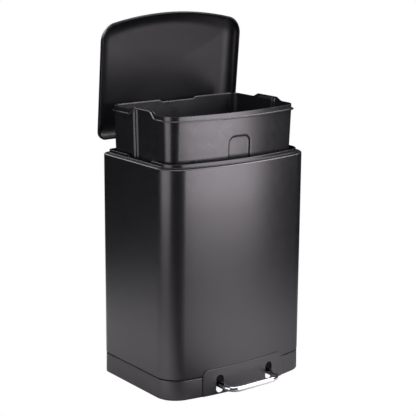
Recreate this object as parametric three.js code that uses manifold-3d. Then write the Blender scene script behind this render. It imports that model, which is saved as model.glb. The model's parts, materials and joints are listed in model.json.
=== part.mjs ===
// A step-on pedal bin with a hinged lid and a lift-out inner bucket, as separate parts in one scene graph.
// Millimetres. +Z is up and the front faces -Y. The origin is on the floor, below the middle of the whole
// footprint, with the pedal and the open lid included.
// It is drawn with the pedal down, the lid open and the bucket drawn up out of the body.
import * as THREE from 'three';
import { mergeVertices } from 'three/addons/utils/BufferGeometryUtils.js';
import Module from 'manifold-3d';

const wasm = await Module();
wasm.setup();

// ---------------------------------------------------------------- driving dimensions

const gap = 0.3;                       // air between pieces that touch
const footprintShift = 16;             // from the middle of the body to the middle of the whole footprint
const degrees = Math.PI / 180;

// plan shape shared by the body, base and collar: straight back and sides, bowed front
const body = { width: 380, sideDepth: 253, bow: 25, frontRadius: 51, rearRadius: 25 };
const rearFace = body.sideDepth / 2;
const frontFace = -body.sideDepth / 2 - body.bow;

const shell = { bottom: 47, top: 500, wall: 0.8, ledge: 11.5, edgeRadius: 3.2 };
const collar = {
  outerInset: shell.ledge + gap, wall: 2.5, bottom: 482, top: 508, flangeWidth: 4, flange: 1.2,
};
const scoop = { depth: 6, rear: 38, front: -55, slope: 12 };

const base = { bottom: 1.5, top: 45.7, wall: 3, deck: 2.6, spigotTop: 58, spigotWall: 2 };
const floorPlate = { thickness: 1, inset: shell.wall + gap + base.spigotWall + gap };
const foot = { radius: 11, height: 7.5, x: 150, frontY: -88, rearY: 96 };

const plate = { halfWidth: 110, bottom: 0.6, top: 59, cornerRadius: 13, proud: 2 };
const slot = { x: 68, halfWidth: 9.5, bottom: 4, top: 43.5 };

// pedal linkage
const pedalPivot = { y: -70, z: 24 };
const bar = { radius: 6, socketY: -104, slotZ: 21, frontY: -190, frontZ: 19.5, bend: 27 };
const axle = { radius: 3, halfLength: 96 };
const leverArm = { width: 14, height: 8, rearY: 118, rearZ: 45, overhang: 2.8 };
const bracketX = 86;

// lid hinge and the crank that the push rod lifts
const hinge = { y: 140, z: 508.7 };
const lidOpenAngle = 85 * degrees;
const crank = { radius: 25, thickness: 3, x: 5, pinRadius: 1.5 };
const rod = { radius: 2.5, y: leverArm.rearY, plate: 3 };
const crankOpenAngle = lidOpenAngle / 2;
const crankTip = {
  y: hinge.y - crank.radius * Math.cos(crankOpenAngle),
  z: hinge.z + crank.radius * Math.sin(crankOpenAngle),
};

const lid = {
  inset: 2.8, rimZ: 502, wallTop: 506, roundWidth: 34, roundHeight: 22, crown: 3, skin: 0.8, liner: 2.2,
};
const lidPlan = { ...body, frontRadius: 45, rearRadius: 19 };

// inner bucket, in its own frame: z = 0 is the middle of the flange
const bucket = {
  width: 350.4, sideDepth: 223.2, bow: 22, frontRadius: 35.5, rearRadius: 25,
  lip: 4.8, wall: 2, rimHeight: 11, height: 444.5, draft: 14.4, bottomRadius: 12,
};
const bucketAt = { x: 0, y: 4, z: 593.6 };
const ear = { rearFoot: 35, rearTop: 19, frontTop: -45, frontFoot: -61, flangeRise: 14.5, rimRise: 7.5 };
// the upright channel in the middle of each side wall steps in twice, at these distances from its middle
const channel = { middle: -10.2, stepDepth: 2.5, steps: [[32, 29], [24.8, 21.8]] };
const rimNotch = { left: -34, right: 52, depth: 4.5, step: 4 };
// the sunken panel low in the middle of the front wall
const panel = { outer: 31, inner: 24, upper: -34, lower: -47, depth: 3 };

// ---------------------------------------------------------------- materials

function material(color, roughness, metalness) {
  return new THREE.MeshStandardMaterial({ color, roughness, metalness });
}
const paint = { color: 0x2a292c, roughness: 0.42, metalness: 0.35 };
const plastic = { color: 0x242427, roughness: 0.5, metalness: 0 };
const chrome = { color: 0xe6e6ea, roughness: 0.08, metalness: 1 };
const steel = { color: 0xa0a2a6, roughness: 0.35, metalness: 1 };
const rubber = { color: 0x18181a, roughness: 0.85, metalness: 0 };
const zinc = { color: 0xb9bbc0, roughness: 0.4, metalness: 0.9 };

const group = new THREE.Group();
const bin = new THREE.Group();
bin.position.y = footprintShift;
group.add(bin);

function addPart(name, geometry, look, parent = bin) {
  const mesh = new THREE.Mesh(geometry, material(look.color, look.roughness, look.metalness));
  mesh.name = name;
  parent.add(mesh);
  return mesh;
}

// ---------------------------------------------------------------- solids

function toManifold(geometry) {
  const bare = geometry.clone();
  bare.deleteAttribute('normal');
  bare.deleteAttribute('uv');
  const merged = mergeVertices(bare, 1e-4);
  return new wasm.Manifold(new wasm.Mesh({
    numProp: 3,
    vertProperties: Float32Array.from(merged.attributes.position.array),
    triVerts: Uint32Array.from(merged.index.array),
  }));
}

function toGeometry(manifold) {
  const mesh = manifold.getMesh();
  const geometry = new THREE.BufferGeometry();
  geometry.setAttribute('position', new THREE.BufferAttribute(mesh.vertProperties, 3));
  geometry.setIndex(new THREE.BufferAttribute(mesh.triVerts, 1));
  geometry.computeVertexNormals();
  return geometry;
}

function subtract(from, ...tools) {
  return toGeometry(tools.reduce((solid, tool) => solid.subtract(toManifold(tool)), toManifold(from)));
}

function join(first, ...others) {
  return toGeometry(others.reduce((solid, other) => solid.add(toManifold(other)), toManifold(first)));
}

function intersect(first, second) {
  return toGeometry(toManifold(first).intersect(toManifold(second)));
}

// A box given by its lowest and highest corners.
function box(low, high) {
  const size = high.map((value, axis) => value - low[axis]);
  const geometry = new THREE.BoxGeometry(...size);
  return geometry.translate(...low.map((value, axis) => value + size[axis] / 2));
}

// A round rod or disc from one point to another.
function rodBetween(from, to, radius, sides = 20) {
  const start = new THREE.Vector3(...from);
  const axis = new THREE.Vector3(...to).sub(start);
  const geometry = new THREE.CylinderGeometry(radius, radius, axis.length(), sides);
  geometry.applyQuaternion(new THREE.Quaternion().setFromUnitVectors(
    new THREE.Vector3(0, 1, 0), axis.clone().normalize()));
  return geometry.translate(...start.addScaledVector(axis, 0.5).toArray());
}

// A flat plate across X: an outline in (y, z) between two x positions.
function sidePlate(points, xLow, xHigh) {
  const shape = new THREE.Shape(points.map(([y, z]) => new THREE.Vector2(y, z)));
  const geometry = new THREE.ExtrudeGeometry(shape, { depth: xHigh - xLow, bevelEnabled: false });
  geometry.applyMatrix4(new THREE.Matrix4().makeBasis(
    new THREE.Vector3(0, 1, 0), new THREE.Vector3(0, 0, 1), new THREE.Vector3(1, 0, 0)));
  return geometry.translate(xLow, 0, 0);
}

// ---------------------------------------------------------------- bowed-front outlines and lofts

const frontCornerSteps = 8;
const rearCornerSteps = 5;
const frontSteps = 10;

// Anticlockwise outline of a plan shape, moved inward by inset. Stops add points on the sides and the back.
function planOutline(plan, inset = 0, sideStops = [], rearStops = [], frontStops = []) {
  const halfWidth = plan.width / 2 - inset;
  const rear = plan.sideDepth / 2 - inset;
  const frontSide = -plan.sideDepth / 2 + inset;
  const frontRadius = Math.max(plan.frontRadius - inset, 2);
  const rearRadius = Math.max(plan.rearRadius - inset, 2);
  const slopeAt = (x) => 2 * plan.bow * x / halfWidth ** 2;
  const frontAt = (x) => frontSide - plan.bow + plan.bow * (x / halfWidth) ** 2;
  let tangentX = halfWidth - frontRadius;
  for (let i = 0; i < 20; i += 1) {
    const slope = slopeAt(tangentX);
    tangentX = halfWidth - frontRadius + frontRadius * slope / Math.hypot(1, slope);
  }
  const slope = slopeAt(tangentX);
  const centreY = frontAt(tangentX) + frontRadius / Math.hypot(1, slope);
  const turn = Math.atan(slope);
  const points = [];
  const arc = (cx, cy, radius, from, to, steps) => {
    for (let i = 0; i <= steps; i += 1) {
      const angle = from + (to - from) * i / steps;
      points.push([cx + radius * Math.cos(angle), cy + radius * Math.sin(angle)]);
    }
  };
  const quarter = Math.PI / 2;
  arc(halfWidth - frontRadius, centreY, frontRadius, turn - quarter, 0, frontCornerSteps);
  sideStops.toSorted((a, b) => a - b).forEach((y) => points.push([halfWidth, y]));
  arc(halfWidth - rearRadius, rear - rearRadius, rearRadius, 0, quarter, rearCornerSteps);
  rearStops.toSorted((a, b) => b - a).forEach((x) => points.push([x, rear]));
  arc(rearRadius - halfWidth, rear - rearRadius, rearRadius, quarter, 2 * quarter, rearCornerSteps);
  sideStops.toSorted((a, b) => b - a).forEach((y) => points.push([-halfWidth, y]));
  arc(frontRadius - halfWidth, centreY, frontRadius, 2 * quarter, 3 * quarter - turn, frontCornerSteps);
  const evenly = Array.from({ length: frontSteps - 1 }, (_, i) => 2 * tangentX * (i + 1) / frontSteps - tangentX);
  [...evenly, ...frontStops].toSorted((a, b) => a - b).forEach((x) => points.push([x, frontAt(x)]));
  return points;
}

function ring(plan, inset, z) {
  return planOutline(plan, inset).map(([x, y]) => [x, y, z]);
}

// A solid through rings of equal length: closed on itself like a tube wall, or capped at its two ends.
function loft(rings, closed) {
  const count = rings[0].length;
  const positions = rings.flat(2);
  const index = [];
  const bands = closed ? rings.length : rings.length - 1;
  for (let band = 0; band < bands; band += 1) {
    const next = (band + 1) % rings.length;
    for (let i = 0; i < count; i += 1) {
      const j = (i + 1) % count;
      const [a, b, c, d] = [band * count + i, band * count + j, next * count + j, next * count + i];
      index.push(a, b, c, a, c, d);
    }
  }
  if (!closed) {
    const flat = (points) => points.map(([x, y]) => new THREE.Vector2(x, y));
    const last = (rings.length - 1) * count;
    THREE.ShapeUtils.triangulateShape(flat(rings[0]), []).forEach(([a, b, c]) => index.push(a, c, b));
    THREE.ShapeUtils.triangulateShape(flat(rings.at(-1)), [])
      .forEach(([a, b, c]) => index.push(last + a, last + b, last + c));
  }
  let volume = 0;
  const corner = (i) => new THREE.Vector3().fromArray(positions, 3 * i);
  for (let i = 0; i < index.length; i += 3) {
    volume += corner(index[i]).dot(corner(index[i + 1]).cross(corner(index[i + 2])));
  }
  if (volume < 0) {
    index.reverse();
  }
  const geometry = new THREE.BufferGeometry();
  geometry.setAttribute('position', new THREE.Float32BufferAttribute(positions, 3));
  geometry.setIndex(index);
  geometry.computeVertexNormals();
  return geometry;
}

// ---------------------------------------------------------------- outer body

// The window at the top of the back wall that the crank and the rod head move in.
const crankWindow = { left: -9, right: 13, bottom: 480 };

function crankWindowCut() {
  return box([crankWindow.left, 100, crankWindow.bottom], [crankWindow.right, 140, 520]);
}

const housingScrewX = [-44, 44];
const housingScrewZ = 474;

function makeOuterShell() {
  const { bottom, top, wall, ledge, edgeRadius } = shell;
  const rounding = [0, 30, 60, 90].map((angle) => [
    edgeRadius * (1 - Math.cos(angle * degrees)),
    top - edgeRadius + edgeRadius * Math.sin(angle * degrees),
  ]);
  const profile = [
    [0, bottom],
    ...rounding,
    [ledge, top],
    [ledge, top - wall],
    [edgeRadius, top - wall],
    [wall, top - edgeRadius],
    [wall, bottom],
  ];
  const skin = loft(profile.map(([inset, z]) => ring(body, inset, z)), true);
  const holes = housingScrewX.map((x) => rodBetween(
    [x, 100, housingScrewZ], [x, 140, housingScrewZ], 2.4, 16));
  return subtract(skin, crankWindowCut(), ...holes);
}

function makeTopCollar() {
  const { outerInset, wall, bottom, top, flangeWidth, flange } = collar;
  const flangeBottom = shell.top + gap;
  const profile = [
    [outerInset, bottom],
    [outerInset, flangeBottom],
    [outerInset - flangeWidth, flangeBottom],
    [outerInset - flangeWidth, flangeBottom + flange],
    [outerInset, flangeBottom + flange],
    [outerInset, top],
    [outerInset + wall, top],
    [outerInset + wall, bottom],
  ];
  const wallRing = loft(profile.map(([inset, z]) => ring(body, inset, z)), true);
  const scoopLow = top - scoop.depth;
  const scoopCut = sidePlate([
    [scoop.front, top + 5],
    [scoop.front, top],
    [scoop.front + scoop.slope, scoopLow],
    [scoop.rear - scoop.slope, scoopLow],
    [scoop.rear, top],
    [scoop.rear, top + 5],
  ], -200, 200);
  return subtract(wallRing, scoopCut, crankWindowCut());
}

// Rubber buttons on the rear ledge that the shut lid lands on.
const bumper = { x: 120, inset: 5, radius: 2.4, height: 1.4 };

function makeLedgeBumper(x) {
  const low = shell.top + gap;
  return rodBetween([x, rearFace - bumper.inset, low], [x, rearFace - bumper.inset, low + bumper.height],
    bumper.radius, 20);
}

// ---------------------------------------------------------------- base

const leverWindow = { halfWidth: 13, front: 56, rear: 124.7 };

function leverWindowCut(low, high) {
  return box([-leverWindow.halfWidth, leverWindow.front, low],
    [leverWindow.halfWidth, leverWindow.rear, high]);
}

const baseScrew = { shank: 2, head: 4.5, headBottom: 40.2, headTop: 42.8, top: 49 };
const baseScrewSpots = [[-120, -40], [120, -40], [-120, 60], [120, 60]];

const footSpots = [
  [-foot.x, foot.frontY], [foot.x, foot.frontY], [-foot.x, foot.rearY], [foot.x, foot.rearY],
];

function makeBaseSkirt() {
  const { bottom, top, wall, deck, spigotTop, spigotWall } = base;
  const spigotInset = shell.wall + gap;
  const skirt = loft([
    ring(body, wall, top - deck),
    ring(body, wall, bottom),
    ring(body, 0, bottom),
    ring(body, 0, top - 0.8),
    ring(body, 0.8, top),
    ring(body, spigotInset, top),
    ring(body, spigotInset, spigotTop),
    ring(body, spigotInset + spigotWall, spigotTop),
    ring(body, spigotInset + spigotWall, top),
  ], false);
  const pads = footSpots.map(([x, y]) => rodBetween(
    [x, y, foot.height + gap], [x, y, top - deck + 0.5], foot.radius, 20));
  const windows = [-slot.x, slot.x].map((x) => box(
    [x - slot.halfWidth - 2, frontFace - 5, -1], [x + slot.halfWidth + 2, -130, slot.top + 0.5]));
  const screwHoles = baseScrewSpots.map(([x, y]) => rodBetween(
    [x, y, 30], [x, y, top + 1], baseScrew.shank + gap, 16));
  const solid = toManifold(skirt);
  const padded = pads.reduce((sum, pad) => sum.add(toManifold(pad)), solid);
  return subtract(toGeometry(padded), leverWindowCut(top - deck - 1, spigotTop + 1), ...windows,
    ...screwHoles);
}

function makeFloorPlate() {
  const low = base.top + gap;
  const sheet = loft([
    ring(body, floorPlate.inset, low),
    ring(body, floorPlate.inset, low + floorPlate.thickness),
  ], false);
  const screwHoles = baseScrewSpots.map(([x, y]) => rodBetween(
    [x, y, 30], [x, y, low + 5], baseScrew.shank + gap, 16));
  return subtract(sheet, leverWindowCut(low - 1, low + 5), ...screwHoles);
}

// The front cover follows the bowed front and stands a little proud of it.
function makePedalPlate() {
  const curved = loft([
    ring(body, -plate.proud, plate.bottom - 1),
    ring(body, -plate.proud, plate.top + 1),
    ring(body, -gap, plate.top + 1),
    ring(body, -gap, plate.bottom - 1),
  ], true);
  const { halfWidth, bottom, top, cornerRadius } = plate;
  const outline = new THREE.Shape();
  outline.moveTo(-halfWidth, bottom);
  outline.lineTo(halfWidth, bottom);
  outline.lineTo(halfWidth, top - cornerRadius);
  outline.absarc(halfWidth - cornerRadius, top - cornerRadius, cornerRadius, 0, Math.PI / 2, false);
  outline.absarc(cornerRadius - halfWidth, top - cornerRadius, cornerRadius, Math.PI / 2, Math.PI, false);
  [-slot.x, slot.x].forEach((x) => {
    const hole = new THREE.Path();
    hole.absarc(x, slot.top - slot.halfWidth, slot.halfWidth, 0, Math.PI, false);
    hole.absarc(x, slot.bottom + slot.halfWidth, slot.halfWidth, Math.PI, 2 * Math.PI, false);
    outline.holes.push(hole);
  });
  const front = new THREE.ExtrudeGeometry(outline, { depth: 60, bevelEnabled: false, curveSegments: 10 });
  front.rotateX(Math.PI / 2);
  front.translate(0, frontFace + 50, 0);
  return intersect(curved, front);
}

function makeFoot([x, y]) {
  const profile = [
    [0, 0], [foot.radius - 1.5, 0], [foot.radius, 1.5], [foot.radius, foot.height], [0, foot.height],
  ];
  const geometry = new THREE.LatheGeometry(profile.map(([r, h]) => new THREE.Vector2(r, h)), 20);
  geometry.rotateX(Math.PI / 2);
  return geometry.translate(x, y, 0);
}

function makeBaseScrew([x, y]) {
  const head = rodBetween([x, y, baseScrew.headBottom], [x, y, baseScrew.headTop], baseScrew.head, 20);
  const shank = rodBetween([x, y, baseScrew.headBottom + 1], [x, y, baseScrew.top], baseScrew.shank, 16);
  return join(head, shank);
}

// ---------------------------------------------------------------- pedal

// A round solid on the pedal's pivot line, between two x positions.
function alongPivot(xLow, xHigh, radius) {
  return rodBetween([xLow, pedalPivot.y, pedalPivot.z], [xHigh, pedalPivot.y, pedalPivot.z], radius);
}

// Rear arm angle above the horizontal in the pressed position.
const leverAngle = Math.atan2(leverArm.rearZ - pedalPivot.z, leverArm.rearY - pedalPivot.y);

function makePedalBar() {
  const { radius, socketY, slotZ, frontY, frontZ, bend } = bar;
  const rearZ = slotZ + 1;
  const side = (sign) => [
    new THREE.Vector3(sign * slot.x, socketY, rearZ),
    new THREE.Vector3(sign * slot.x, frontY + bend, slotZ - 0.5),
    new THREE.Vector3(sign * slot.x, frontY, frontZ),
    new THREE.Vector3(sign * (slot.x - bend), frontY, frontZ),
  ];
  const path = new THREE.CurvePath();
  const [a, b, c, d] = side(-1);
  const [e, f, g, h] = side(1);
  path.add(new THREE.LineCurve3(a, b));
  path.add(new THREE.QuadraticBezierCurve3(b, c, d));
  path.add(new THREE.LineCurve3(d, h));
  path.add(new THREE.QuadraticBezierCurve3(h, g, f));
  path.add(new THREE.LineCurve3(f, e));
  const section = new THREE.Shape().absarc(0, 0, radius, 0, 2 * Math.PI, false);
  return new THREE.ExtrudeGeometry(section, {
    steps: 40, curveSegments: 9, bevelEnabled: false, extrudePath: path,
  });
}

function makePedalLever() {
  const { width, height, rearY, rearZ, overhang } = leverArm;
  const boss = (x) => alongPivot(x - 5, x + 5, 6.5);
  const crossBeam = box([-slot.x - 10, -98, pedalPivot.z - 5], [slot.x + 10, -88, pedalPivot.z + 5]);
  const socket = (x) => box([x - 10, -124, 13.5], [x + 10, -88, 29.5]);
  const link = (x) => box([x - 5, -90, pedalPivot.z - 4], [x + 5, pedalPivot.y, pedalPivot.z + 4]);
  const along = [Math.cos(leverAngle), Math.sin(leverAngle)];
  const across = [-along[1] * height / 2, along[0] * height / 2];
  const start = [-92, pedalPivot.z];
  const end = [rearY + overhang * along[0], rearZ + overhang * along[1]];
  const arm = sidePlate([
    [start[0] - across[0], start[1] - across[1]],
    [end[0] - across[0], end[1] - across[1]],
    [end[0] + across[0], end[1] + across[1]],
    [start[0] + across[0], start[1] + across[1]],
  ], -width / 2, width / 2);
  const forkGap = box([-rod.plate / 2 - 1, rearY - 9, rearZ - 12],
    [rod.plate / 2 + 1, rearY + 12, rearZ + 12]);
  const forkHole = rodBetween([-20, rearY, rearZ], [20, rearY, rearZ], 2.1, 16);
  const axleHole = alongPivot(-100, 100, axle.radius + gap);
  const bore = (x) => rodBetween([x, -130, bar.slotZ + 0.45], [x, bar.socketY + 0.5, bar.slotZ + 1],
    bar.radius + gap, 24);
  const ends = [-slot.x, slot.x].flatMap((x) => [socket(x), link(x), boss(x)]);
  const solid = join(crossBeam, ...ends, arm, boss(0));
  return subtract(solid, forkGap, forkHole, axleHole, bore(-slot.x), bore(slot.x));
}

function makeAxleBracket(side) {
  const x = side * bracketX;
  const block = box([x - 4, pedalPivot.y - 9, 13], [x + 4, pedalPivot.y + 9, base.top - base.deck - gap]);
  const hole = alongPivot(x - 9, x + 9, axle.radius + gap);
  return subtract(block, hole);
}

function makeAxleClip(side) {
  const x = side * (bracketX + 6);
  return subtract(alongPivot(x - 0.5, x + 0.5, 6.5), alongPivot(x - 2, x + 2, axle.radius + gap));
}

// ---------------------------------------------------------------- push rod, guides and damper

const forkPin = { radius: 1.8, halfLength: leverArm.width / 2 + 0.5 };

// A flattened rod end with a slot along Y, so that a swinging pin can pass through it.
function slottedEnd(slotFront, slotRear, z, slotHalfHeight, margin) {
  const plateBox = box([-rod.plate / 2, slotFront - margin, z - slotHalfHeight - margin],
    [rod.plate / 2, slotRear + margin, z + slotHalfHeight + margin]);
  const cut = box([-5, slotFront, z - slotHalfHeight], [5, slotRear, z + slotHalfHeight]);
  return [plateBox, cut];
}

function makePushRod() {
  const headFront = hinge.y - crank.radius - crank.pinRadius - 0.4;
  const headRear = crankTip.y + crank.pinRadius + 0.4;
  const [head, headSlot] = slottedEnd(headFront, headRear, crankTip.z, crank.pinRadius + 0.9, 1.3);
  const [heel, heelSlot] = slottedEnd(rod.y - 2.6, rod.y + 3.6, leverArm.rearZ, forkPin.radius + 0.5, 1.2);
  const stem = rodBetween([0, rod.y, leverArm.rearZ + 3.4], [0, rod.y, crankTip.z - 3.2], rod.radius, 16);
  return subtract(join(stem, head, heel), headSlot, heelSlot);
}

function makeForkPin() {
  return rodBetween([-forkPin.halfLength, leverArm.rearY, leverArm.rearZ],
    [forkPin.halfLength, leverArm.rearY, leverArm.rearZ], forkPin.radius, 16);
}

function makeRodGuide(z) {
  const block = box([-10, rod.y - rod.radius - 3, z - 7], [10, rearFace - shell.wall - gap, z + 7]);
  const hole = rodBetween([0, rod.y, z - 9], [0, rod.y, z + 9], rod.radius + 0.4, 20);
  return subtract(block, hole);
}

const damper = {
  x: 20, y: 116.5, radius: 7, bottom: 66, top: 146, bore: 4, rodRadius: 2, pistonZ: 118, clampZ: 196,
};

// An upright round solid on the damper's axis.
function alongDamper(low, high, radius, sides) {
  return rodBetween([damper.x, damper.y, low], [damper.x, damper.y, high], radius, sides);
}

function makeDamperCylinder() {
  const tube = alongDamper(damper.bottom, damper.top, damper.radius, 24);
  const bore = alongDamper(damper.bottom + 6, damper.top - 5, damper.bore, 20);
  const neck = alongDamper(damper.top - 7, damper.top + 1, damper.rodRadius + gap, 20);
  return subtract(tube, bore, neck);
}

function makeDamperPiston() {
  const stem = alongDamper(damper.pistonZ, damper.clampZ - 4.3, damper.rodRadius, 16);
  const head = alongDamper(damper.pistonZ, damper.pistonZ + 5, damper.bore - gap, 20);
  return join(stem, head);
}

function makeDamperClamp() {
  const block = box([-5.5, rod.y - 6, damper.clampZ - 4], [damper.x + 5, rod.y + 4.5, damper.clampZ + 4]);
  const rodHole = rodBetween([0, rod.y, 180], [0, rod.y, 210], rod.radius + gap, 16);
  return subtract(block, rodHole);
}

function makeDamperStrap(z) {
  const block = box([damper.x - 10, damper.y - 9, z - 4],
    [damper.x + 10, rearFace - shell.wall - gap, z + 4]);
  return subtract(block, alongDamper(z - 9, z + 9, damper.radius + gap, 24));
}

// ---------------------------------------------------------------- hinge at the back

const housing = { halfWidth: 66, rear: 157, bottom: 456, top: 519, wall: 2.6 };
const pinHoleRadius = 2.5 + gap;

function makeHingeHousing() {
  const { halfWidth, rear, bottom, top, wall } = housing;
  const front = rearFace + gap;
  const profile = [
    [front, bottom],
    [rear - 10, bottom],
    [rear, bottom + 12],
    [rear, top - 6],
    [rear - 4, top],
    [front + 6, top],
    [front, top - 6],
  ];
  const block = sidePlate(profile, -halfWidth, halfWidth);
  const hollow = sidePlate([
    [front + wall, bottom + wall],
    [rear - 11, bottom + wall],
    [rear - wall, bottom + 13],
    [rear - wall, top - 7],
    [rear - 5.5, top - wall],
    [rear - 5.5, top + 5],
    [front + wall, top + 5],
  ], wall - halfWidth, halfWidth - wall);
  const frontCut = box([wall - halfWidth, front - 5, 500.5], [halfWidth - wall, front + wall + 1, top + 5]);
  const windowCut = box([crankWindow.left - 3, front - 5, crankWindow.bottom - 3],
    [crankWindow.right + 3, front + wall + 1, top + 5]);
  const pinHole = rodBetween([-90, hinge.y, hinge.z], [90, hinge.y, hinge.z], pinHoleRadius, 20);
  const screwHoles = housingScrewX.map((x) => rodBetween(
    [x, 120, housingScrewZ], [x, 135, housingScrewZ], 2.3, 16));
  return subtract(block, hollow, frontCut, windowCut, pinHole, ...screwHoles);
}

function makeHousingScrew(x) {
  const head = rodBetween([x, rearFace - shell.wall - 2.6, housingScrewZ],
    [x, rearFace - shell.wall - gap, housingScrewZ], 4, 20);
  const shank = rodBetween([x, rearFace - shell.wall - 2, housingScrewZ],
    [x, rearFace + 6, housingScrewZ], 2, 16);
  return join(head, shank);
}

// ---------------------------------------------------------------- lid, drawn closed about its hinge

const lidGroup = new THREE.Group();
lidGroup.position.set(0, hinge.y, hinge.z);
lidGroup.rotation.x = -lidOpenAngle;
bin.add(lidGroup);

// The lid's pieces are written in body coordinates with the lid shut, then moved to the hinge.
function addLidPart(name, geometry, look) {
  addPart(name, geometry.translate(0, -hinge.y, -hinge.z), look, lidGroup);
}

const lidRoundSteps = 6;

// Rings from the rim up over the rounded edge to the low crown, at a depth below the outer surface.
function lidRings(depth, rimZ) {
  const rings = [rimZ, lid.wallTop].map((z) => ring(lidPlan, lid.inset + depth, z));
  for (let i = 1; i <= lidRoundSteps; i += 1) {
    const angle = Math.PI / 2 * i / lidRoundSteps;
    const inset = lid.inset + depth + (lid.roundWidth - depth) * (1 - Math.cos(angle));
    rings.push(ring(lidPlan, inset, lid.wallTop + (lid.roundHeight - depth) * Math.sin(angle)));
  }
  const edge = rings.at(-1);
  const centreY = (rearFace + frontFace) / 2;
  [0.7, 0.35].forEach((scale) => rings.push(edge.map(([x, y, z]) => [
    x * scale,
    centreY + (y - centreY) * scale,
    z + lid.crown * (1 - scale ** 2),
  ])));
  return rings;
}

const bracketScrewX = [-18, 18];
const bracketScrew = { z: 508, head: 3.6, shank: 1.8, tipY: 121 };

function bracketScrewHoles() {
  return bracketScrewX.map((x) => rodBetween([x, bracketScrew.tipY - gap, bracketScrew.z],
    [x, 130, bracketScrew.z], bracketScrew.shank + gap, 16));
}

function makeLidShell() {
  const skin = loft([...lidRings(0, lid.rimZ).toReversed(), ...lidRings(lid.skin, lid.rimZ)], false);
  return subtract(skin, ...bracketScrewHoles());
}

function makeLidLiner() {
  const outer = lidRings(lid.skin + gap, lid.rimZ + 0.4);
  const inner = lidRings(lid.skin + gap + lid.liner, lid.rimZ + 0.4);
  return subtract(loft([...outer.toReversed(), ...inner], false), ...bracketScrewHoles());
}

const bracket = { armX: [30, 48], flangeHalfWidth: 50, thickness: 2, barrel: 5 };

function makeLidBracket() {
  const wallY = rearFace - lid.inset + gap;
  const flange = box([-bracket.flangeHalfWidth, wallY, 503.5],
    [bracket.flangeHalfWidth, wallY + bracket.thickness, 511.5]);
  const parts = [];
  [-1, 1].forEach((side) => {
    const xs = bracket.armX.map((x) => side * x).toSorted((a, b) => a - b);
    parts.push(box([xs[0], wallY + 1, 506], [xs[1], hinge.y, 506 + bracket.thickness]));
    parts.push(rodBetween([xs[0], hinge.y, hinge.z], [xs[1], hinge.y, hinge.z], bracket.barrel));
  });
  const tube = rodBetween([-bracket.armX[0], hinge.y, hinge.z],
    [bracket.armX[0], hinge.y, hinge.z], bracket.barrel);
  const tipAngle = -crankOpenAngle;
  const along = [-Math.cos(tipAngle), Math.sin(tipAngle)];
  const across = [-along[1] * 3.4, along[0] * 3.4];
  const reach = crank.radius + 2.6;
  const tip = [hinge.y + reach * along[0], hinge.z + reach * along[1]];
  const arm = sidePlate([
    [hinge.y - across[0], hinge.z - across[1]],
    [tip[0] - across[0], tip[1] - across[1]],
    [tip[0] + across[0], tip[1] + across[1]],
    [hinge.y + across[0], hinge.z + across[1]],
  ], crank.x - crank.thickness / 2, crank.x + crank.thickness / 2);
  const pinHole = rodBetween([-90, hinge.y, hinge.z], [90, hinge.y, hinge.z], pinHoleRadius, 20);
  const tipHole = rodBetween([-9, ...closedTip()], [20, ...closedTip()], crank.pinRadius + gap, 16);
  return subtract(join(flange, tube, ...parts, arm), pinHole, tipHole, ...bracketScrewHoles());
}

// Where the crank pin sits while the lid is shut.
function closedTip() {
  return [crankTip.y, 2 * hinge.z - crankTip.z];
}

function makeCrankPin() {
  return rodBetween([-3.5, ...closedTip()], [crank.x + 3.5, ...closedTip()], crank.pinRadius, 16);
}

function makeBracketScrew(x) {
  const wallY = rearFace - lid.inset + gap;
  const head = rodBetween([x, wallY + bracket.thickness + gap, bracketScrew.z],
    [x, wallY + bracket.thickness + 2.2, bracketScrew.z], bracketScrew.head, 20);
  const shank = rodBetween([x, bracketScrew.tipY, bracketScrew.z],
    [x, wallY + bracket.thickness + 1, bracketScrew.z], bracketScrew.shank, 16);
  return join(head, shank);
}

// ---------------------------------------------------------------- inner bucket

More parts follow.
